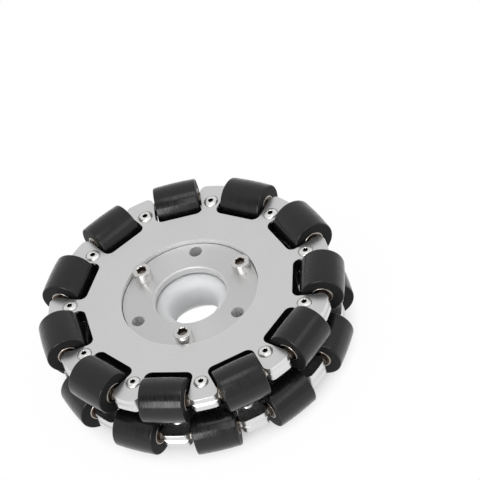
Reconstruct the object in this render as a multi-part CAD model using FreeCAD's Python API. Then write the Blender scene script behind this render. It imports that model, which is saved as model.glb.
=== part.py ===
import FreeCAD
import Part
import math
import os

# Double-row omnidirectional wheel, lying flat.
# The origin is the wheel's centre and +Z is its axis, toward the heads of the hub screws.
# Each row is a slotted aluminium wheel, clamped together from two half plates, that holds its rollers
# on pins across the slots. The two wheels are the same part, the same way up. The lower one lies half
# a turn round, which is half a pitch more than a whole number of rollers, so that its rollers cover
# the gaps of the upper ones. A plastic spacer keeps the wheels apart and narrows the bore between them.
# All sizes are in millimetres.

# Rollers
rollers_per_row = 11              # odd, so that half a turn shifts a row by half a pitch
overall_diameter = 127.0          # over the crowns of the rollers
row_pitch = 20.4                  # between the planes of the two rows
roller_diameter = 18.2            # at mid-length
roller_crown_radius = 135.0       # of the barrel's outline
roller_edge_radius = 0.5
roller_bore_diameter = 6.4        # between the two bearings

# Roller bearings and pins
pin_diameter = 4.0
pin_engagement = 4.3              # of each pin end in its finger
pin_chamfer = 0.3
bearing_diameter = 9.0
bearing_width = 4.0
outer_race_thickness = 0.8
inner_race_thickness = 0.65
inner_race_proud = 0.1            # beyond the bearing's face, where the washer bears on it
shield_inset = 0.2
washer_diameter = 5.5

# Wheel plates
half_plate_thickness = 3.35
finger_reach = 4.7               # from the pin axes out to the edge of the plates
finger_half_width = 4.03          # from a rim screw's axis to the slots beside it
slot_end_gap = 1.05               # from a roller's end to the wall of its slot
slot_floor_gap = 2.5              # from a roller to the floor of its slot
slot_corner_radius = 3.0
finger_corner_radius = 3.0
rim_edge_chamfer = 0.2            # turned on the blank, before the slots are cut
parting_edge_chamfer = 0.9        # turned on the blank as well, a notch round the closed wheel

# Hub
bore_diameter = 30.0
bore_chamfer = 0.45               # at the recess
bore_foot_chamfer = 1.4           # at the underside
spacer_bore_diameter = 20.0
spacer_bore_rounding = 4.8        # at both mouths
spacer_boss_height = 1.25         # of the boss that stands in the bore of the upper wheel
boss_clearance = 0.05             # radial, between the boss and the bore
hub_recess_margin = 1.05          # from the heads of the hub screws out to the wall of the recess
hub_recess_depth = 2.1
spacer_clearance = 0.2            # radial, between the spacer and the recess that it sits in
hub_hole_count = 6                # every second one holds a screw, the others are for the mount
hub_hole_circle = 47.6
hub_screw_diameter = 5.0
hub_screw_head_diameter = 7.6
hub_screw_head_height = 4.7
hub_screw_socket = 3.7            # across flats
hub_screw_socket_depth = 2.8
hub_screw_head_chamfer = 0.35
hub_nut_flats = 8.0
hub_nut_height = 2.7
hub_screw_overhang = 0.8          # beyond the nut

# Rim screws
rim_screw_pin_distance = 6.41     # from a screw's axis to the axis of the pins beside it
rim_screw_diameter = 3.0
rim_screw_head_diameter = 5.7
rim_screw_head_height = 1.65
rim_screw_socket = 2.0
rim_screw_socket_depth = 1.1
rim_counterbore_depth = 0.8
rim_counterbore_clearance = 0.35  # all round the head

# Clearances
seat_clearance = 0.01             # radial, where a piece is fixed in or on another
running_clearance = 0.06          # radial, between the races of a roller's bearing
screw_clearance = 0.2             # radial, between a screw and a plain hole
groove_end_clearance = 0.3

# Derived sizes
pitch_angle = 360.0 / rollers_per_row
half_pitch = math.radians(pitch_angle / 2)
crown_radius = overall_diameter / 2
roller_axis_radius = crown_radius - roller_diameter / 2
finger_middle = (roller_axis_radius - rim_screw_pin_distance) * math.tan(half_pitch)
slot_half_width = finger_middle - finger_half_width
roller_length = 2 * (slot_half_width - slot_end_gap)
plate_radius = roller_axis_radius + finger_reach
slot_floor_radius = roller_axis_radius - roller_diameter / 2 - slot_floor_gap
pin_length = 2 * (slot_half_width + pin_engagement)
rim_screw_circle_radius = (roller_axis_radius - rim_screw_pin_distance) / math.cos(half_pitch)
recess_floor = half_plate_thickness - hub_recess_depth      # above the parting plane
hub_recess_radius = (hub_hole_circle + hub_screw_head_diameter) / 2 + hub_recess_margin
row_height = row_pitch / 2
hub_hole_radius = hub_screw_diameter / 2 + screw_clearance
inner_race_radius = pin_diameter / 2 + inner_race_thickness
bearing_face = roller_length / 2
inner_race_face = bearing_face + inner_race_proud

ORIGIN = FreeCAD.Vector(0, 0, 0)
X_AXIS = FreeCAD.Vector(1, 0, 0)
Z_AXIS = FreeCAD.Vector(0, 0, 1)


def cylinder(radius, bottom, top, x=0.0, y=0.0):
    """An upright cylinder between two heights."""
    return Part.makeCylinder(radius, top - bottom, FreeCAD.Vector(x, y, bottom), Z_AXIS)


def revolve(points):
    """A solid turned about the Z axis from a closed profile of (radius, height) points."""
    wire = Part.makePolygon([FreeCAD.Vector(r, 0, z) for r, z in points + points[:1]])
    return Part.Face(wire).revolve(ORIGIN, Z_AXIS, 360)


def hexagon_prism(flats, bottom, top):
    """An upright hexagonal prism, measured across its flats."""
    reach = flats / 2 / math.cos(math.radians(30))
    corners = [
        FreeCAD.Vector(
            reach * math.cos(math.radians(60 * i)),
            reach * math.sin(math.radians(60 * i)),
            bottom,
        )
        for i in range(7)
    ]
    return Part.Face(Part.makePolygon(corners)).extrude(Z_AXIS * (top - bottom))


def around(shape, count, first=0.0):
    """Copies of a shape, evenly turned about the wheel's axis."""
    copies = []
    for i in range(count):
        copy = shape.copy()
        copy.rotate(ORIGIN, Z_AXIS, first + 360.0 * i / count)
        copies.append(copy)
    return copies


def across_slot(shape, azimuth):
    """Turns a shape made along Z onto the roller axis at an azimuth, in the row's own plane."""
    placed = shape.copy()
    placed.rotate(ORIGIN, X_AXIS, -90)
    placed.translate(X_AXIS * roller_axis_radius)
    placed.rotate(ORIGIN, Z_AXIS, azimuth)
    return placed


def raised(shape):
    """Lifts a shape from the row's own plane to the upper row."""
    placed = shape.copy()
    placed.translate(Z_AXIS * row_height)
    return placed


def lowered(shape):
    """Turns a shape from the row's own plane half round and lowers it to the lower row."""
    placed = shape.copy()
    placed.rotate(ORIGIN, Z_AXIS, 180)
    placed.translate(Z_AXIS * -row_height)
    return placed


def slotted_disc():
    """A half plate's blank on the parting plane: a turned disc with a straight-sided slot for each roller."""
    disc = cylinder(plate_radius, 0, half_plate_thickness)
    slot = Part.makeBox(
        plate_radius,
        2 * slot_half_width,
        3 * half_plate_thickness,
        FreeCAD.Vector(slot_floor_radius, -slot_half_width, -half_plate_thickness),
    )
    floor_corners = [
        edge
        for edge in slot.Edges
        if edge.BoundBox.ZLength > half_plate_thickness and edge.BoundBox.XMax < slot_floor_radius + 0.01
    ]
    slot = slot.makeFillet(slot_corner_radius, floor_corners)
    disc = disc.cut(around(slot, rollers_per_row))
    tip_corners = [
        edge
        for edge in disc.Edges
        if edge.BoundBox.ZLength > half_plate_thickness / 2
        and abs(math.hypot(edge.CenterOfMass.x, edge.CenterOfMass.y) - plate_radius) < 0.01
    ]
    disc = disc.makeFillet(finger_corner_radius, tip_corners)
    turned = revolve(
        [
            (0, 0),
            (plate_radius - parting_edge_chamfer, 0),
            (plate_radius, parting_edge_chamfer),
            (plate_radius, half_plate_thickness - rim_edge_chamfer),
            (plate_radius - rim_edge_chamfer, half_plate_thickness),
            (0, half_plate_thickness),
        ]
    )
    return disc.common(turned)


def hub_bores(top, chamfer):
    """The bore and the hub holes as one set of cutters, with the bore chamfered at the given height."""
    radius = bore_diameter / 2
    reach = 2 * half_plate_thickness
    bore = cylinder(radius, -reach, reach)
    mouth = Part.makeCone(radius, radius + 2 * chamfer, 2 * chamfer, Z_AXIS * (top - chamfer), Z_AXIS)
    hole = cylinder(hub_hole_radius, -reach, reach, x=hub_hole_circle / 2)
    return [bore, mouth] + around(hole, hub_hole_count)


def pin_grooves():
    """Cutters for the grooves that hold the pins in the fingers."""
    radius = pin_diameter / 2 + seat_clearance
    half_length = pin_length / 2 + groove_end_clearance
    groove = cylinder(radius, -half_length, half_length)
    return [across_slot(groove, pitch_angle * i) for i in range(rollers_per_row)]


def outer_half_plate():
    """The upper half plate of a wheel, with the hub recess and the counterbored rim-screw holes."""
    plate = slotted_disc()
    recess = cylinder(hub_recess_radius, recess_floor, 2 * half_plate_thickness)
    seat = half_plate_thickness - rim_counterbore_depth
    counterbore = cylinder(
        rim_screw_head_diameter / 2 + rim_counterbore_clearance,
        seat,
        2 * half_plate_thickness,
        x=rim_screw_circle_radius,
    )
    hole = cylinder(
        rim_screw_diameter / 2 + screw_clearance,
        -half_plate_thickness,
        half_plate_thickness,
        x=rim_screw_circle_radius,
    )
    screws = around(counterbore.fuse(hole), rollers_per_row, pitch_angle / 2)
    return plate.cut([recess] + hub_bores(recess_floor, bore_chamfer) + screws + pin_grooves())


def inner_half_plate():
    """The lower half plate of a wheel, with the tapped holes of the rim screws."""
    plate = slotted_disc()
    hole = cylinder(
        rim_screw_diameter / 2 + seat_clearance,
        -half_plate_thickness,
        2 * half_plate_thickness,
        x=rim_screw_circle_radius,
    )
    screws = around(hole, rollers_per_row, pitch_angle / 2)
    plate = plate.cut(hub_bores(half_plate_thickness, bore_foot_chamfer) + screws + pin_grooves())
    plate.rotate(ORIGIN, X_AXIS, 180)
    return plate


def spacer():
    """The plastic ring between the wheels, seated in the lower one's recess, with a rounded bore."""
    bore = spacer_bore_diameter / 2
    boss = bore_diameter / 2 - boss_clearance
    ring = hub_recess_radius - spacer_clearance
    seat = recess_floor - row_height
    top = row_height - half_plate_thickness
    crest = top + spacer_boss_height
    body = revolve([(bore, seat), (ring, seat), (ring, top), (boss, top), (boss, crest), (bore, crest)])
    mouths = [edge for edge in body.Edges if edge.BoundBox.ZLength < 0.01 and edge.BoundBox.XMax < bore + 0.01]
    body = body.makeFillet(spacer_bore_rounding, mouths)
    hole = cylinder(hub_hole_radius, -row_pitch, row_pitch, x=hub_hole_circle / 2)
    return body.cut(around(hole, hub_hole_count))


def roller():
    """A moulded barrel roller along Z, with a bearing seat at each end."""
    half = roller_length / 2
    seat_radius = bearing_diameter / 2 + seat_clearance
    bore_radius = roller_bore_diameter / 2
    seat_floor = bearing_face - bearing_width
    crown_drop = roller_crown_radius - math.sqrt(roller_crown_radius**2 - half**2)
    end_radius = roller_diameter / 2 - crown_drop
    crown = Part.Arc(
        FreeCAD.Vector(end_radius, 0, -half),
        FreeCAD.Vector(roller_diameter / 2, 0, 0),
        FreeCAD.Vector(end_radius, 0, half),
    ).toShape()
    inside = Part.makePolygon(
        [
            FreeCAD.Vector(r, 0, z)
            for r, z in (
                (end_radius, half),
                (seat_radius, half),
                (seat_radius, seat_floor),
                (bore_radius, seat_floor),
                (bore_radius, -seat_floor),
                (seat_radius, -seat_floor),
                (seat_radius, -half),
                (end_radius, -half),
            )
        ]
    )
    body = Part.Face(Part.Wire([crown] + inside.Edges)).revolve(ORIGIN, Z_AXIS, 360)
    rims = [
        edge
        for edge in body.Edges
        if edge.BoundBox.ZLength < 0.01 and edge.BoundBox.XMax > end_radius - 0.01
    ]
    return body.makeFillet(roller_edge_radius, rims)


def bearing_outer():
    """The turning part of a bearing, outer race and shields, at a roller's upper end."""
    outer = bearing_diameter / 2
    race = outer - outer_race_thickness
    inner = inner_race_radius + running_clearance
    top = bearing_face
    bottom = bearing_face - bearing_width
    return revolve(
        [
            (outer, bottom),
            (outer, top),
            (race, top),
            (race, top - shield_inset),
            (inner, top - shield_inset),
            (inner, bottom + shield_inset),
            (race, bottom + shield_inset),
            (race, bottom),
        ]
    )


def inner_race():
    """The part of a bearing that stands still on the pin."""
    body = cylinder(inner_race_radius, bearing_face - bearing_width, inner_race_face)
    return body.cut(cylinder(pin_diameter / 2 + seat_clearance, -roller_length, roller_length))


def pin_washer():
    """The washer between an inner race and the wall of the slot."""
    body = cylinder(washer_diameter / 2, inner_race_face, slot_half_width)
    return body.cut(cylinder(pin_diameter / 2 + seat_clearance, -roller_length, 2 * roller_length))


def roller_pin():
    """A plain pin with chamfered ends."""
    half = pin_length / 2
    radius = pin_diameter / 2
    end = radius - pin_chamfer
    return revolve([(0, -half), (end, -half), (radius, pin_chamfer - half), (radius, half - pin_chamfer),
                    (end, half), (0, half)])


def at_both_ends(shape):
    """A shape at one end of a roller and its copy at the other end."""
    other = shape.copy()
    other.rotate(ORIGIN, X_AXIS, 180)
    return [shape, other]


def hub_screw():
    """A socket head cap screw, with the underside of its head at height zero."""
    radius = hub_screw_head_diameter / 2
    shank = hub_screw_diameter / 2
    grip = row_pitch + recess_floor + half_plate_thickness
    length = grip + hub_nut_height + hub_screw_overhang
    top = hub_screw_head_height
    body = revolve(
        [
            (0, -length),
            (shank - pin_chamfer, -length),
            (shank, pin_chamfer - length),
            (shank, 0),
            (radius, 0),
            (radius, top - hub_screw_head_chamfer),
            (radius - hub_screw_head_chamfer, top),
            (0, top),
        ]
    )
    return body.cut(hexagon_prism(hub_screw_socket, top - hub_screw_socket_depth, 2 * top))


def hub_nut():
    """A hexagon nut with rounded-off corners, standing down from height zero."""
    corner = hub_nut_flats / 2 / math.cos(math.radians(30))
    chamfer = corner - hub_nut_flats / 2
    drop = chamfer * math.tan(math.radians(30))
    nut = hexagon_prism(hub_nut_flats, -hub_nut_height, 0)
    rounding = revolve(
        [
            (0, -hub_nut_height),
            (corner - chamfer, -hub_nut_height),
            (corner, drop - hub_nut_height),
            (corner, -drop),
            (corner - chamfer, 0),
            (0, 0),
        ]
    )
    thread = cylinder(hub_screw_diameter / 2 + seat_clearance, -2 * hub_nut_height, hub_nut_height)
    return nut.common(rounding).cut(thread)


def rim_screw():
    """A button head screw, with the underside of its head at height zero."""
    radius = rim_screw_head_diameter / 2
    shank = rim_screw_diameter / 2
    flat = rim_screw_socket * 0.75
    height = rim_screw_head_height
    length = 2 * half_plate_thickness - rim_counterbore_depth
    dome = Part.Arc(
        FreeCAD.Vector(radius, 0, 0.15 * height),
        FreeCAD.Vector((radius + flat) / 2 + 0.12 * radius, 0, 0.75 * height),
        FreeCAD.Vector(flat, 0, height),
    ).toShape()
    rest = Part.makePolygon(
        [
            FreeCAD.Vector(flat, 0, height),
            FreeCAD.Vector(0, 0, height),
            FreeCAD.Vector(0, 0, -length),
            FreeCAD.Vector(shank, 0, -length),
            FreeCAD.Vector(shank, 0, 0),
            FreeCAD.Vector(radius, 0, 0),
            FreeCAD.Vector(radius, 0, 0.15 * height),
        ]
    )
    body = Part.Face(Part.Wire([dome] + rest.Edges)).revolve(ORIGIN, Z_AXIS, 360)
    return body.cut(hexagon_prism(rim_screw_socket, height - rim_screw_socket_depth, 2 * height))


def rim_fasteners():
    """The screws of a wheel's rim, one in each finger, placed in the row's own plane."""
    screw = rim_screw()
    seat = half_plate_thickness - rim_counterbore_depth
    screw.translate(FreeCAD.Vector(rim_screw_circle_radius, 0, seat))
    return Part.makeCompound(around(screw, rollers_per_row, pitch_angle / 2))


def across_all_slots(shapes):
    """A group of shapes made along Z, repeated at every slot of a row."""
    placed = [
        across_slot(shape, pitch_angle * i) for i in range(rollers_per_row) for shape in shapes
    ]
    return Part.makeCompound(placed)


def hub_fasteners():
    """The hub screws and their nuts, clamping both wheels and the spacer."""
    screw = hub_screw()
    screw.translate(FreeCAD.Vector(hub_hole_circle / 2, 0, row_height + recess_floor))
    nut = hub_nut()
    nut.translate(FreeCAD.Vector(hub_hole_circle / 2, 0, -row_height - half_plate_thickness))
    count = hub_hole_count // 2
    first = 360.0 / hub_hole_count
    return Part.makeCompound(around(screw, count, first)), Part.makeCompound(around(nut, count, first))


def build():
    """All pieces of the wheel by name."""
    screws, nuts = hub_fasteners()
    pieces = {"centre_spacer": spacer(), "hub_screws": screws, "hub_nuts": nuts}
    row = {
        "outer_plate": outer_half_plate(),
        "inner_plate": inner_half_plate(),
        "rim_screws": rim_fasteners(),
        "roller_pins": across_all_slots([roller_pin()]),
        "inner_races": across_all_slots(at_both_ends(inner_race())),
        "pin_washers": across_all_slots(at_both_ends(pin_washer())),
    }
    tread = roller()
    bearings = Part.makeCompound(at_both_ends(bearing_outer()))
    for i in range(rollers_per_row):
        row["roller_%02d" % (i + 1)] = across_slot(tread, pitch_angle * i)
        row["bearings_%02d" % (i + 1)] = across_slot(bearings, pitch_angle * i)
    for name, shape in row.items():
        pieces["upper_" + name] = raised(shape)
        pieces["lower_" + name] = lowered(shape)
    return pieces


def main():
    os.makedirs("parts", exist_ok=True)
    for name, shape in build().items():
        shape.exportStep("parts/%s.step" % name)


main()
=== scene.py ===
import math

import bmesh
import bpy
from mathutils import Matrix, Vector


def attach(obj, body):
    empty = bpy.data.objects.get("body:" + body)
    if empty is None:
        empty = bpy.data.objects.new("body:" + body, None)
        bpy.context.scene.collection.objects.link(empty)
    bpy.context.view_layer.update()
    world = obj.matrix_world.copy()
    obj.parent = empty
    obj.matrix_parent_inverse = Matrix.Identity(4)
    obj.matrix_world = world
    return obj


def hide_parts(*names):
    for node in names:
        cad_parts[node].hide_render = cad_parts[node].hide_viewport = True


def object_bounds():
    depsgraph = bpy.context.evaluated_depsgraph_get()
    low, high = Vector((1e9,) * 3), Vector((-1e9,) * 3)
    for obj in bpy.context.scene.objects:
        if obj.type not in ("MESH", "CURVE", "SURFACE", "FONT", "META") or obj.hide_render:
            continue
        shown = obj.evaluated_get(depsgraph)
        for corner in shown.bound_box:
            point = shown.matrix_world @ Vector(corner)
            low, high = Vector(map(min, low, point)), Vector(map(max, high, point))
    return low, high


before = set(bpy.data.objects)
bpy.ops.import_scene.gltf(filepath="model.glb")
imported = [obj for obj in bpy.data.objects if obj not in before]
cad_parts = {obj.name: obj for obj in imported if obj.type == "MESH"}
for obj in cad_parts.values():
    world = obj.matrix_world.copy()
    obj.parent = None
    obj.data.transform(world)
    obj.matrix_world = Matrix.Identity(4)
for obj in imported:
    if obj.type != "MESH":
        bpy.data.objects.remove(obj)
cad_box = [list(corner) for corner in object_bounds()]

# Sizes in metres, as in the solids.
MM = 0.001
ROLLERS = 11
PITCH = 2 * math.pi / ROLLERS
ROW_HEIGHT = 10.2 * MM             # of a row's plane over the wheel's middle
HALF_PLATE = 3.35 * MM             # thickness
PLATE_RADIUS = 59.1 * MM           # over the ends of the fingers
BORE_RADIUS = 15.0 * MM
RECESS_RADIUS = 28.65 * MM
RECESS_FLOOR = 1.25 * MM           # over the row's own plane
HUB_HOLE_INNER = 21.1 * MM         # nearest point of a hub hole to the wheel's axis
HUB_HOLE_OUTER = 26.5 * MM
AXIS_RADIUS = 54.4 * MM            # of the roller axes round the wheel
ROLLER_RADIUS = 9.1 * MM           # at mid-length
ROLLER_CROWN = 135.0 * MM          # of the barrel's outline
ROLLER_HALF = 9.0117 * MM
ROLLER_EDGE = 0.5 * MM
SEAT_RADIUS = 4.51 * MM
ROLLER_BORE = 3.2 * MM             # radius, between its bearings
BEARING_WIDTH = 4.0 * MM
SLOT_HALF = 10.0617 * MM           # from a roller's middle to the wall of its slot
RIM_SCREW_CIRCLE = 50.016 * MM
RIM_SCREW_SEAT = 2.55 * MM         # over the row's own plane
POCKET_INNER = 46.8 * MM           # nearest point of a button head's counterbore to the wheel's axis
POCKET_OUTER = 53.2 * MM
HUB_SCREW_CIRCLE = 23.8 * MM
HUB_SCREW_SEAT = 11.45 * MM
HUB_SCREW_FIRST = 60               # degrees round from +X
STEPS = 48                         # round a screw
MAP_MIDDLE = 20.0                  # what the rollers' map gives at mid-length, in its millimetres
MAP_ROUND = 8.5                    # millimetres of the map to a radian round a roller
CREASE = 0.6                       # radians: a sharper edge than this isn't shaded smooth


# Colours and nodes

def linear(code):
    """An sRGB hex colour as linear RGBA."""
    values = [int(code[i:i + 2], 16) / 255 for i in (0, 2, 4)]
    return [v / 12.92 if v <= 0.04045 else ((v + 0.055) / 1.055) ** 2.4 for v in values] + [1.0]


def add(tree, kind, inputs=None, **settings):
    """Adds a node, with its settings, its values and its links."""
    node = tree.nodes.new(kind)
    for name, value in settings.items():
        setattr(node, name, value)
    for key, value in (inputs or {}).items():
        if isinstance(value, bpy.types.NodeSocket):
            tree.links.new(value, node.inputs[key])
        else:
            node.inputs[key].default_value = value
    return node


def new_material(name):
    """An empty material: its node tree, ready to be filled."""
    material = bpy.data.materials.new(name)
    material.use_nodes = True
    material.node_tree.nodes.clear()
    return material, material.node_tree


# Materials

def zone(tree, *limits):
    """The share of a surface that lies in a zone: the product of its limits.

    A limit is a share of its own, or (value, low, high), which rises from 0 at low to 1 at high, or falls
    from 1 to 0 where low is the higher."""
    share = None
    for limit in limits:
        if isinstance(limit, tuple):
            value, low, high = limit
            limit = add(tree, "ShaderNodeMapRange", {"Value": value, "From Min": low, "From Max": high})
            limit = limit.outputs[0]
        if share is not None:
            limit = add(tree, "ShaderNodeMath", {0: share, 1: limit}, operation="MULTIPLY").outputs[0]
        share = limit
    return share


def bare_metal(name, shade, low, high):
    """Bare metal, whose roughness varies over a grain of 0.35 mm, the finest that shows."""
    material, tree = new_material(name)
    place = add(tree, "ShaderNodeTexCoord").outputs["Object"]
    noise = add(tree, "ShaderNodeTexNoise", {"Vector": place, "Scale": 1 / (0.35 * MM), "Detail": 2.0})
    rough = add(tree, "ShaderNodeMapRange", {"Value": noise.outputs["Fac"], "To Min": low, "To Max": high})
    shader = add(tree, "ShaderNodeBsdfPrincipled", {
        "Base Color": linear(shade), "Metallic": 1.0, "Roughness": rough.outputs[0]})
    add(tree, "ShaderNodeOutputMaterial", {"Surface": shader.outputs[0]})
    return material


def plate_aluminium():
    """Anodised aluminium plate, blasted to an even satin grey before it was milled and turned.

    The turned recess shows rings, and its sheen runs across them. The slots are rougher and painted near black:
    painted shade. The recess's corner ring is painted darker as painted shade, and its wall, the hub holes and the
    screw pockets are painted paler as painted light."""
    material, tree = new_material("aluminium_satin_anodised_and_turned")
    place = add(tree, "ShaderNodeTexCoord").outputs["Object"]
    # Faint clouds of 14 mm keep the satin face from looking flat. Its grain is 0.35 mm, the finest that shows.
    cloud = add(tree, "ShaderNodeTexNoise", {"Vector": place, "Scale": 1 / (14 * MM), "Detail": 2.0})
    grain = add(tree, "ShaderNodeTexNoise", {"Vector": place, "Scale": 1 / (0.35 * MM), "Detail": 2.0})

    # Each zone is found from the reach from the wheel's axis and the height over the row's own plane.
    flat = add(tree, "ShaderNodeVectorMath", {0: place, 1: (1.0, 1.0, 0.0)}, operation="MULTIPLY").outputs[0]
    reach = add(tree, "ShaderNodeVectorMath", {0: flat}, operation="LENGTH").outputs["Value"]
    spot = add(tree, "ShaderNodeSeparateXYZ", {"Vector": place}).outputs
    row = add(tree, "ShaderNodeMath", {0: spot["Z"]}, operation="SIGN").outputs[0]
    height = add(tree, "ShaderNodeMath", {0: row, 1: -ROW_HEIGHT, 2: spot["Z"]}, operation="MULTIPLY_ADD")
    height = height.outputs[0]
    lift = add(tree, "ShaderNodeMath", {0: height}, operation="ABSOLUTE").outputs[0]
    above_foot = (height, 0.03 * MM - HALF_PLATE, 0.15 * MM - HALF_PLATE)

    # Pitches round the wheel, less whole ones, from the nearest screw. The lower row lies half a pitch round.
    # A screw's pocket reaches less than 0.13 of a pitch to each side.
    turn = add(tree, "ShaderNodeMath", {0: spot["Y"], 1: spot["X"]}, operation="ARCTAN2").outputs[0]
    half = add(tree, "ShaderNodeMath", {0: row, 1: -0.25, 2: 0.25}, operation="MULTIPLY_ADD").outputs[0]
    turn = add(tree, "ShaderNodeMath", {0: turn, 1: 1 / PITCH, 2: half}, operation="MULTIPLY_ADD").outputs[0]
    turn = add(tree, "ShaderNodeMath", {0: turn}, operation="FRACT").outputs[0]
    turn = add(tree, "ShaderNodeMath", {0: turn, 1: 0.5}, operation="SUBTRACT").outputs[0]
    turn = add(tree, "ShaderNodeMath", {0: turn}, operation="ABSOLUTE").outputs[0]
    by_screw = add(tree, "ShaderNodeMath", {0: turn, 1: 0.13}, operation="LESS_THAN").outputs[0]

    turned = zone(tree, (reach, BORE_RADIUS + 0.5 * MM, BORE_RADIUS + 0.6 * MM),
                  (reach, RECESS_RADIUS - 0.05 * MM, RECESS_RADIUS - 0.1 * MM))
    # Painted shade: a dark grey ring at the foot of the recess wall.
    corner = zone(tree, (reach, RECESS_RADIUS - 0.55 * MM, RECESS_RADIUS - 0.45 * MM),
                  (reach, RECESS_RADIUS - 0.05 * MM, RECESS_RADIUS - 0.07 * MM))
    # Painted light: the recess wall is paler than the plate.
    wall = zone(tree, (reach, RECESS_RADIUS - 0.07 * MM, RECESS_RADIUS - 0.03 * MM),
                (reach, RECESS_RADIUS + 0.15 * MM, RECESS_RADIUS + 0.07 * MM))
    # Painted light: the hub holes' walls are paler than the plate.
    holes = zone(tree, (reach, HUB_HOLE_INNER - 0.2 * MM, HUB_HOLE_INNER - 0.1 * MM),
                 (reach, HUB_HOLE_OUTER + 0.2 * MM, HUB_HOLE_OUTER + 0.1 * MM),
                 (height, RECESS_FLOOR - 0.01 * MM, RECESS_FLOOR - 0.05 * MM),
                 (height, 0.01 * MM - HALF_PLATE, 0.05 * MM - HALF_PLATE))
    bore = zone(tree, (reach, BORE_RADIUS + 0.5 * MM, BORE_RADIUS + 0.4 * MM))
    # Painted light: the button heads' pockets are paler than the plate.
    pockets = zone(tree, by_screw, (reach, POCKET_INNER - 0.2 * MM, POCKET_INNER - 0.1 * MM),
                   (reach, POCKET_OUTER + 0.2 * MM, POCKET_OUTER + 0.1 * MM),
                   (lift, RIM_SCREW_SEAT - 0.25 * MM, RIM_SCREW_SEAT - 0.15 * MM),
                   (lift, HALF_PLATE - 0.01 * MM, HALF_PLATE - 0.05 * MM))
    tips = zone(tree, (reach, PLATE_RADIUS - 1.7 * MM, PLATE_RADIUS - 1.5 * MM),
                (lift, HALF_PLATE - 0.21 * MM, HALF_PLATE - 0.25 * MM))

    # Painted shade darkens the slots' floors and walls, where it thins out from 51 to 54 mm, and the lower wheel's
    # face where the upper one covers it. These faces are also rougher. It stops short of the faces that show, and
    # by a screw also short of the screw's pocket.
    top = add(tree, "ShaderNodeMath", {0: row, 1: -0.1 * MM, 2: HALF_PLATE + 0.05 * MM}, operation="MULTIPLY_ADD")
    under = add(tree, "ShaderNodeMath", {0: height, 1: top.outputs[0]}, operation="LESS_THAN").outputs[0]
    floors = zone(tree, (reach, 30 * MM, 31 * MM), (reach, POCKET_INNER - 0.2 * MM, POCKET_INNER - 0.4 * MM),
                  above_foot, under)
    top = add(tree, "ShaderNodeMath", {0: by_screw, 1: -0.9 * MM, 2: HALF_PLATE - 0.05 * MM},
              operation="MULTIPLY_ADD")
    under = add(tree, "ShaderNodeMath", {0: height, 1: top.outputs[0]}, operation="LESS_THAN").outputs[0]
    walls = zone(tree, (reach, POCKET_INNER - 0.7 * MM, POCKET_INNER - 0.5 * MM), (reach, 54 * MM, 51 * MM),
                 above_foot, under)
    slots_painted_shade = add(tree, "ShaderNodeMath", {0: floors, 1: walls}, operation="MAXIMUM").outputs[0]

    # Turning marks of uneven depth, 0.5 mm apart, which is about as fine as shows.
    marks = add(tree, "ShaderNodeCombineXYZ", {"X": reach})
    rings = add(tree, "ShaderNodeTexNoise", {"Vector": marks.outputs[0], "Scale": 1 / (0.5 * MM), "Detail": 1.0})
    ringed = add(tree, "ShaderNodeMix", {"Factor": rings.outputs["Fac"], 6: linear("CFCFCF"), 7: linear("DDDDDD")},
                 data_type="RGBA").outputs[2]

    # Each zone's colour and roughness, laid one over the other. The recess's corner ring and the slots are painted
    # darker: painted shade. The recess wall, the hub holes and the screw pockets are painted paler: painted light.
    colour = add(tree, "ShaderNodeMix", {
        "Factor": cloud.outputs["Fac"], 6: linear("DEDEDE"), 7: linear("E3E3E3")}, data_type="RGBA").outputs[2]
    for share, finish in ((turned, ringed), (corner, linear("686868")), (wall, linear("F0F0F0")),
                          (holes, linear("F4F4F4")), (pockets, linear("F4F4F4")), (tips, linear("E0E0E0")),
                          (slots_painted_shade, linear("2A2A2A"))):
        colour = add(tree, "ShaderNodeMix", {"Factor": share, 6: colour, 7: finish}, data_type="RGBA").outputs[2]
    rough = add(tree, "ShaderNodeMapRange", {"Value": grain.outputs["Fac"], "To Min": 0.25, "To Max": 0.32})
    rough = rough.outputs[0]
    worn_bore = add(tree, "ShaderNodeMath", {0: bore, 1: 0.65}, operation="MULTIPLY").outputs[0]
    for share, finish in ((turned, 0.42), (wall, 0.65), (holes, 0.8), (worn_bore, 0.8), (pockets, 0.6),
                          (tips, 0.36), (slots_painted_shade, 0.6)):
        rough = add(tree, "ShaderNodeMix", {"Factor": share, 2: rough, 3: finish}).outputs[0]
    fine = add(tree, "ShaderNodeBump", {"Height": grain.outputs["Fac"], "Strength": 0.03, "Distance": 0.02 * MM})
    bump = add(tree, "ShaderNodeBump", {
        "Height": zone(tree, rings.outputs["Fac"], turned), "Strength": 0.3, "Distance": 0.05 * MM,
        "Normal": fine.outputs["Normal"]})
    drawn_out = add(tree, "ShaderNodeMath", {0: turned, 1: 0.6}, operation="MULTIPLY").outputs[0]
    shader = add(tree, "ShaderNodeBsdfPrincipled", {
        "Base Color": colour, "Metallic": 1.0, "Roughness": rough, "Anisotropic": drawn_out, "Tangent": flat,
        "Normal": bump.outputs["Normal"]})
    add(tree, "ShaderNodeOutputMaterial", {"Surface": shader.outputs[0]})
    return material


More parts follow.
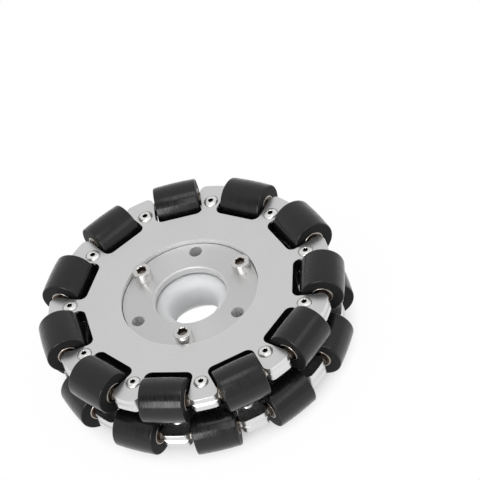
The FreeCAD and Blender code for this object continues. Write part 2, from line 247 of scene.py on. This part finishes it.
def turned_rubber():
    """Black moulded rubber with a turned crown: streaks run round it, come and go, and break up its sheen."""
    material, tree = new_material("rubber_moulded_and_turned")
    place = add(tree, "ShaderNodeTexCoord").outputs["UV"]
    # The map is in millimetres along and round the roller. The tool marks are drawn 0.5 mm apart, which is
    # coarser than the real ones, so that they show, and 12 mm long.
    marks = add(tree, "ShaderNodeMapping", {"Vector": place, "Scale": (1 / 0.5, 1 / 12, 1.0)})
    streaks = add(tree, "ShaderNodeTexNoise", {
        "Vector": marks.outputs[0], "Scale": 1.0, "Detail": 3.0, "Distortion": 0.6}).outputs["Fac"]
    # Patches 3 mm wide and 6 mm long, where the marks are deep or rubbed away.
    wide = add(tree, "ShaderNodeMapping", {"Vector": place, "Scale": (1 / 3, 1 / 6, 1.0)})
    patches = add(tree, "ShaderNodeTexNoise", {
        "Vector": wide.outputs[0], "Scale": 1.0, "Detail": 2.0}).outputs["Fac"]
    colour = add(tree, "ShaderNodeMix", {"Factor": patches, 6: linear("090909"), 7: linear("0F0F10")},
                 data_type="RGBA").outputs[2]
    # The distance from the roller's middle. The crown ends in a polished edge where the mould parts.
    along = add(tree, "ShaderNodeSeparateXYZ", {"Vector": place}).outputs["X"]
    along = add(tree, "ShaderNodeMath", {0: along, 1: MAP_MIDDLE}, operation="SUBTRACT").outputs[0]
    along = add(tree, "ShaderNodeMath", {0: along}, operation="ABSOLUTE").outputs[0]
    edge = zone(tree, (along, 8.35, 8.55), (along, 9.01, 8.99))
    ends = zone(tree, (along, 8.95, 9.005))
    # A thin coat gives the crown the sharper sheen of rubbed rubber. The end faces stay dull.
    coat = add(tree, "ShaderNodeMapRange", {"Value": along, "From Min": 9.005, "From Max": 8.95, "To Max": 0.44})
    both = add(tree, "ShaderNodeMath", {0: patches, 1: 0.3, 2: streaks}, operation="MULTIPLY_ADD")
    rough = add(tree, "ShaderNodeMapRange", {
        "Value": both.outputs[0], "From Min": 0.5, "From Max": 0.8, "To Min": 0.17, "To Max": 0.46}).outputs[0]
    for share, finish in ((ends, 0.6), (edge, 0.22)):
        rough = add(tree, "ShaderNodeMix", {"Factor": share, 2: rough, 3: finish}).outputs[0]
    depth = add(tree, "ShaderNodeMapRange", {
        "Value": patches, "From Min": 0.44, "From Max": 0.6, "To Min": 0.04, "To Max": 0.8})
    bump = add(tree, "ShaderNodeBump", {"Height": streaks, "Strength": depth.outputs[0], "Distance": 0.05 * MM})
    shader = add(tree, "ShaderNodeBsdfPrincipled", {
        "Base Color": colour, "Roughness": rough, "IOR": 1.5, "Specular IOR Level": 0.24,
        "Normal": bump.outputs["Normal"], "Coat Weight": coat.outputs[0], "Coat Roughness": 0.14, "Coat IOR": 1.5,
        "Coat Normal": bump.outputs["Normal"]})
    add(tree, "ShaderNodeOutputMaterial", {"Surface": shader.outputs[0]})
    return material


def white_plastic():
    """Machined white acetal: waxy and translucent, so its shadows are soft, with fine turning rings."""
    material, tree = new_material("acetal_white_turned")
    place = add(tree, "ShaderNodeTexCoord").outputs["Object"]
    # Turning rings up the bore, drawn 1.57 mm apart, which is coarser than the real ones, so that they show.
    # A wave is a tenth of pi metres long at scale 1.
    rings = add(tree, "ShaderNodeTexWave", {
        "Vector": place, "Scale": math.pi / 10 / (1.57 * MM), "Distortion": 0.4},
        wave_type="BANDS", bands_direction="Z")
    bump = add(tree, "ShaderNodeBump", {"Height": rings.outputs["Fac"], "Strength": 0.1, "Distance": 0.01 * MM})
    shader = add(tree, "ShaderNodeBsdfPrincipled", {
        "Base Color": linear("E0E1E2"), "Roughness": 0.4, "IOR": 1.48, "Subsurface Weight": 1.0,
        "Subsurface Radius": (1.0, 0.98, 0.96), "Subsurface Scale": 18 * MM, "Normal": bump.outputs["Normal"]})
    add(tree, "ShaderNodeOutputMaterial", {"Surface": shader.outputs[0]})
    return material


PLATE = plate_aluminium()
RUBBER = turned_rubber()
PLASTIC = white_plastic()
# Polished stainless steel is bright, with sharp reflections.
SCREW = bare_metal("stainless_steel_polished", "DAD9D7", 0.08, 0.14)
# Tumbled stainless steel spreads them into one soft highlight on each button head.
DOME = bare_metal("stainless_steel_tumbled", "F0F0EF", 0.34, 0.42)
# A socket's walls are painted dark brown: painted shade. Its pressed floor is a paler steel.
SOCKET = bare_metal("steel_socket_wall_painted_shade", "3A3029", 0.25, 0.4)
SOCKET_FLOOR = bare_metal("steel_socket_floor_pressed", "D8CEC6", 0.5, 0.6)
# Ground bearing steel is warm grey and half bright, and the shield inside it is brown with oil.
RACE = bare_metal("bearing_steel_ground", "A9A29B", 0.22, 0.3)
SHIELD = bare_metal("bearing_shield_oiled_steel", "4A3F37", 0.25, 0.35)
# Blued steel washers are darker than the ground steel pins that they sit on.
WASHER = bare_metal("steel_washer_blued", "756C63", 0.2, 0.3)
PIN = bare_metal("steel_pin_ground", "CFCFCF", 0.2, 0.28)

for name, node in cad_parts.items():
    for key, material in (("plate", PLATE), ("roller_pins", PIN), ("roller", RUBBER), ("bearings", RACE),
                          ("races", RACE), ("washers", WASHER), ("spacer", PLASTIC), ("screws", SCREW),
                          ("nuts", SCREW)):
        if key in name:
            for slot in node.material_slots:
                slot.material = material
            break


# Pieces

def at_slot(upper, index):
    """The place on the wheel of a piece that is made along Z about the origin."""
    turn = PITCH * index + (0 if upper else math.pi)
    height = ROW_HEIGHT if upper else -ROW_HEIGHT
    return (Matrix.Translation((0, 0, height)) @ Matrix.Rotation(turn, 4, "Z")
            @ Matrix.Translation((AXIS_RADIUS, 0, 0)) @ Matrix.Rotation(-math.pi / 2, 4, "X"))


def turned(bm, profile, steps):
    """Spins a profile of (radius, height) points round Z and closes its seam."""
    points = [bm.verts.new((r, 0, z)) for r, z in profile]
    edges = [bm.edges.new(pair) for pair in zip(points, points[1:])]
    bmesh.ops.spin(bm, geom=points + edges, cent=(0, 0, 0), axis=(0, 0, 1), angle=2 * math.pi, steps=steps,
                   use_merge=True)
    bmesh.ops.remove_doubles(bm, verts=bm.verts, dist=1e-7)
    bmesh.ops.recalc_face_normals(bm, faces=bm.faces)


def map_round(bm):
    """Gives a turned piece a map in millimetres: along its axis, and round it."""
    layer = bm.loops.layers.uv.new("turned")
    for face in bm.faces:
        middle = face.calc_center_median()
        centre = math.atan2(middle.y, middle.x)
        for loop in face.loops:
            co = loop.vert.co
            angle = math.atan2(co.y, co.x)
            while angle - centre > math.pi:
                angle -= 2 * math.pi
            while centre - angle > math.pi:
                angle += 2 * math.pi
            loop[layer].uv = (co.z / MM + MAP_MIDDLE, angle * MAP_ROUND)


def made(bm, name, place, material):
    """Turns a bmesh into an object at the origin, with its place in its mesh."""
    mesh = bpy.data.meshes.new(name)
    bm.to_mesh(mesh)
    mesh.transform(place)
    for polygon in mesh.polygons:
        polygon.use_smooth = True
    mesh.set_sharp_from_angle(angle=CREASE)
    mesh.materials.append(material)
    piece = bpy.data.objects.new(name, mesh)
    bpy.context.scene.collection.objects.link(piece)
    return piece


def barrel(z):
    """The radius of a roller at a height along it."""
    return ROLLER_RADIUS - ROLLER_CROWN + math.sqrt(ROLLER_CROWN ** 2 - z ** 2)


def roller_profile():
    """The closed section of a roller: crown, rounded edges, end faces, bearing seats and bore."""
    half = ROLLER_HALF
    reach = half - ROLLER_EDGE
    outer = [(barrel(z), z) for z in [reach * (i / 12 - 1) for i in range(25)]]
    corner = []
    for i in range(1, 6):
        angle = math.radians(90) * i / 5
        corner.append((barrel(reach) - ROLLER_EDGE * (1 - math.cos(angle)), reach + ROLLER_EDGE * math.sin(angle)))
    seat = [(SEAT_RADIUS + 0.2 * MM, half), (SEAT_RADIUS, half - 0.2 * MM), (SEAT_RADIUS, half - BEARING_WIDTH),
            (ROLLER_BORE, half - BEARING_WIDTH)]
    upper = corner + seat
    lower = [(r, -z) for r, z in reversed(upper)]
    ring = lower + outer + upper
    return ring + ring[:1]


def make_rollers():
    """One barrel, spun once and placed in every slot."""
    bm = bmesh.new()
    turned(bm, roller_profile(), 96)
    map_round(bm)
    for row, index, tag in SLOTS:
        piece = made(bm, "roller_" + tag, at_slot(row == "upper", index), RUBBER)
        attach(piece, tag)
        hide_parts("%s_roller_%02d" % (row, index + 1))
    bm.free()


def collar(bm, inner, outer, bottom, top, edge):
    """Adds a ring with chamfered edges, and its copy at the roller's other end."""
    profile = [(inner, bottom), (outer, bottom), (outer, top - edge), (outer - edge, top), (inner + edge, top),
               (inner, top - edge), (inner, bottom)]
    for side in (1, -1):
        turned(bm, [(r, side * z) for r, z in profile], 64)


def make_bearings():
    """The outer races and shields turn with the roller. The inner races and washers stay on the pin."""
    face = ROLLER_HALF
    back = face - BEARING_WIDTH
    races = bmesh.new()
    collar(races, 3.75 * MM, 4.49 * MM, back, face, 0.15 * MM)
    shields = bmesh.new()
    collar(shields, 2.72 * MM, 3.75 * MM, back + 0.4 * MM, face - 0.3 * MM, 0.08 * MM)
    inner = bmesh.new()
    collar(inner, 2.01 * MM, 2.65 * MM, back, face + 0.1 * MM, 0.12 * MM)
    washers = bmesh.new()
    collar(washers, 2.01 * MM, 2.75 * MM, face + 0.1 * MM, SLOT_HALF, 0.1 * MM)
    for row, index, tag in SLOTS:
        place = at_slot(row == "upper", index)
        for bm, name, material, slot in ((races, "outer_races", RACE, "bearing_steel"),
                                         (shields, "shields", SHIELD, "bearing_steel")):
            piece = made(bm, name + "_" + tag, place, material)
            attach(piece, tag)
            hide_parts("%s_bearings_%02d" % (row, index + 1))
        for bm, name, material, slot in ((inner, "inner_races", RACE, "bearing_steel"),
                                         (washers, "pin_washers", WASHER, "washer_steel")):
            piece = made(bm, name + "_" + tag, place, material)
            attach(piece, "wheel")
            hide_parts("%s_%s" % (row, name))
    for bm in (races, shields, inner, washers):
        bm.free()


def screw(outline, flats, mouth, floor):
    """A closed screw: its outline spun round Z, and a hexagon socket sunk into its head.

    The outline is (radius, height) points from the tip to the socket's rim. The socket is given by the
    distance from its middle to its flats, and by the heights of its mouth and floor."""
    bm = bmesh.new()
    turned(bm, outline, STEPS)
    rims = [edge for edge in bm.edges if edge.is_boundary]
    bmesh.ops.edgeloop_fill(bm, edges=[edge for edge in rims if edge.verts[0].co.z < 0])
    rim = [edge for edge in rims if edge.is_boundary]
    for height, part in ((mouth, 0), (floor, 1)):
        grown = bmesh.ops.extrude_edge_only(bm, edges=rim)["geom"]
        for item in grown:
            if isinstance(item, bmesh.types.BMFace):
                item.material_index = part
            elif isinstance(item, bmesh.types.BMVert):
                angle = math.atan2(item.co.y, item.co.x)
                reach = flats / math.cos(angle % (math.pi / 3) - math.pi / 6)
                item.co = (reach * math.cos(angle), reach * math.sin(angle), height)
        rim = [item for item in grown if isinstance(item, bmesh.types.BMEdge) and item.is_boundary]
    bmesh.ops.edgeloop_fill(bm, edges=rim, mat_nr=2)
    bmesh.ops.recalc_face_normals(bm, faces=bm.faces)
    return bm


def button_screw():
    """An M3 button head screw with the underside of its head at height zero."""
    outline = [(1.2, -5.9), (1.5, -5.6), (1.5, 0), (2.9, 0), (3.0, 0.1)]
    for i in range(9):
        angle = math.radians(90) * i / 8
        outline.append((1.4 + 1.6 * math.cos(angle), 0.25 + 1.4 * math.sin(angle)))
    outline.append((1.16, 1.65))
    return screw([(r * MM, z * MM) for r, z in outline], 1.0 * MM, 1.5 * MM, 0.55 * MM)


def cap_screw():
    """A socket head cap screw with the underside of its head at height zero."""
    outline = [(2.2, -28.5), (2.5, -28.2), (2.5, 0), (3.7, 0), (3.8, 0.1), (3.8, 4.3)]
    for i in range(1, 6):
        angle = math.radians(90) * i / 5
        outline.append((3.4 + 0.4 * math.cos(angle), 4.3 + 0.4 * math.sin(angle)))
    outline.append((2.2, 4.7))
    return screw([(r * MM, z * MM) for r, z in outline], 1.85 * MM, 4.45 * MM, 2.2 * MM)


def place_screw(bm, name, place, node, head):
    """Puts a screw on the wheel, with its own material on the head, the socket's walls and its floor. The socket's
    walls, and a button head's socket floor, are painted dark: painted shade.
    """
    piece = made(bm, name, place, head)
    piece.data.materials.append(SOCKET)
    piece.data.materials.append(SOCKET_FLOOR if head is SCREW else SOCKET)
    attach(piece, "wheel")
    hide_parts(node)


def make_screws():
    """The button heads between the slots and the cap screws of the hub, each left at its own turn."""
    bm = button_screw()
    for row, index, tag in SLOTS:
        side = 1 if row == "upper" else -1
        turn = PITCH * (index + 0.5) + (0 if row == "upper" else math.pi)
        place = (Matrix.Rotation(turn, 4, "Z")
                 @ Matrix.Translation((RIM_SCREW_CIRCLE, 0, side * ROW_HEIGHT + RIM_SCREW_SEAT))
                 @ Matrix.Rotation(index * 0.7, 4, "Z"))
        place_screw(bm, "rim_screw_" + tag, place, row + "_rim_screws", DOME)
    bm.free()
    bm = cap_screw()
    for index in range(3):
        place = (Matrix.Rotation(math.radians(HUB_SCREW_FIRST + 120 * index), 4, "Z")
                 @ Matrix.Translation((HUB_SCREW_CIRCLE, 0, HUB_SCREW_SEAT))
                 @ Matrix.Rotation(index * 0.4, 4, "Z"))
        place_screw(bm, "hub_screw_%d" % (index + 1), place, "hub_screws", SCREW)
    bm.free()


SLOTS = [(row, index, "%s_%02d" % (row, index + 1)) for row in ("upper", "lower") for index in range(ROLLERS)]
make_rollers()
make_bearings()
make_screws()


# Floor, light and camera

LIGHT_DISTANCE = 1.6               # metres from the wheel's middle
GLOW_REACH = 200                   # millimetres from the wheel's axis: beyond it the floor's glow is even


def glow_share(tree, reach, stops):
    """How much the floor glows at a distance in mm from the wheel's axis."""
    part = add(tree, "ShaderNodeMath", {0: reach, 1: GLOW_REACH * MM}, operation="DIVIDE").outputs[0]
    node = add(tree, "ShaderNodeValToRGB", {"Fac": part})
    ramp = node.color_ramp.elements
    for stop, (distance, level) in zip(list(ramp), (stops[0], stops[-1])):
        stop.position, stop.color = distance / GLOW_REACH, (level, level, level, 1)
    for distance, level in stops[1:-1]:
        ramp.new(distance / GLOW_REACH).color = (level, level, level, 1)
    return node.outputs[0]


def make_floor():
    """A plain white floor that keeps the wheel's soft shadow, white to the eye and in the metal."""
    bm = bmesh.new()
    bmesh.ops.create_grid(bm, x_segments=1, y_segments=1, size=3.0)
    material, tree = new_material("floor_matt_white")
    path = add(tree, "ShaderNodeLightPath").outputs
    place = add(tree, "ShaderNodeTexCoord").outputs["Object"]
    flat = add(tree, "ShaderNodeVectorMath", {0: place, 1: (1.0, 1.0, 0.0)}, operation="MULTIPLY").outputs[0]
    reach = add(tree, "ShaderNodeVectorMath", {0: flat}, operation="LENGTH").outputs["Value"]
    # Under the rollers the floor is lit by the studio alone, so that no glow fills the wheel's gaps.
    # What the bore looks down on, and all that lies clear of the wheel, is white.
    seen = zone(tree, path["Is Camera Ray"],
                glow_share(tree, reach, ((22, 1), (29, 0.1), (48, 0.1), (64, 0.95), (100, 1))))
    mirror = add(tree, "ShaderNodeMath", {0: path["Is Glossy Ray"], 1: path["Is Transmission Ray"]},
                 operation="MAXIMUM").outputs[0]
    mirror = zone(tree, mirror, glow_share(tree, reach, ((26, 0.9), (34, 0.15), (48, 0.15), (64, 1))))
    amount = add(tree, "ShaderNodeMath", {0: seen, 1: mirror}, operation="ADD")
    paint = add(tree, "ShaderNodeBsdfDiffuse", {"Color": linear("F2F2F2")})
    glow = add(tree, "ShaderNodeEmission", {"Color": (1, 1, 1, 1), "Strength": 1.0})
    mix = add(tree, "ShaderNodeMixShader", {"Fac": amount.outputs[0], 1: paint.outputs[0], 2: glow.outputs[0]})
    add(tree, "ShaderNodeOutputMaterial", {"Surface": mix.outputs[0]})
    floor = made(bm, "floor", Matrix.Translation((0, 0, cad_box[0][2] - 0.00005)), material)
    bm.free()


def soft_light(name, azimuth, elevation, width, height, radiance):
    """A soft box that faces the wheel. Its radiance is how bright its panel looks."""
    data = bpy.data.lights.new(name, "AREA")
    data.shape = "RECTANGLE"
    data.size = width
    data.size_y = height
    data.energy = radiance * math.pi * width * height
    light = bpy.data.objects.new(name, data)
    a = math.radians(azimuth)
    e = math.radians(elevation)
    direction = Vector((math.cos(a) * math.cos(e), math.sin(a) * math.cos(e), math.sin(e)))
    light.location = direction * LIGHT_DISTANCE
    light.rotation_euler = direction.to_track_quat("Z", "Y").to_euler()
    bpy.context.scene.collection.objects.link(light)


def make_light():
    """An even grey studio with four soft boxes."""
    world = bpy.data.worlds.new("studio")
    world.use_nodes = True
    tree = world.node_tree
    tree.nodes.clear()
    # A dark card hangs to the left of the camera. Only what is glossy shows it.
    way = add(tree, "ShaderNodeVectorMath", {0: add(tree, "ShaderNodeTexCoord").outputs["Generated"],
                                             1: (0.18, -0.67, 0.72)}, operation="DOT_PRODUCT").outputs["Value"]
    card = zone(tree, (way, math.cos(math.radians(38)), math.cos(math.radians(22))),
                add(tree, "ShaderNodeLightPath").outputs["Is Glossy Ray"])
    level = add(tree, "ShaderNodeMix", {"Factor": card, 2: 0.76, 3: 0.25})
    grey = add(tree, "ShaderNodeBackground", {"Color": (1, 1, 1, 1), "Strength": level.outputs[0]})
    add(tree, "ShaderNodeOutputWorld", {"Surface": grey.outputs[0]})
    bpy.context.scene.world = world
    # By azimuth and elevation in degrees, width and height in metres, and radiance.
    soft_light("low_soft_box", -75, 26, 0.8, 0.85, 5.4)
    soft_light("overhead_box", -42, 84, 0.6, 0.6, 1.8)
    soft_light("front_strip", -45, 50, 0.3, 0.9, 2.4)
    soft_light("side_box", 22, 46, 1.3, 0.5, 0.8)


def make_camera():
    """The camera, in the pose that fits the rim screws and the hub holes to the photograph."""
    data = bpy.data.cameras.new("camera")
    data.sensor_width = 36.0
    data.lens = 228.481
    data.clip_start = 0.01
    data.clip_end = 20.0
    camera = bpy.data.objects.new("camera", data)
    right = Vector((0.80266, 0.554664, -0.219282))
    up = Vector((-0.28528, 0.6799, 0.675538))
    back = Vector((0.523786, -0.479671, 0.703963))
    turn = Matrix((right, up, back)).transposed().to_4x4()
    camera.matrix_world = Matrix.Translation((0.65714, -0.566492, 0.891989)) @ turn
    bpy.context.scene.collection.objects.link(camera)
    bpy.context.scene.camera = camera


make_floor()
make_light()
make_camera()
bpy.context.scene.view_settings.view_transform = "Standard"
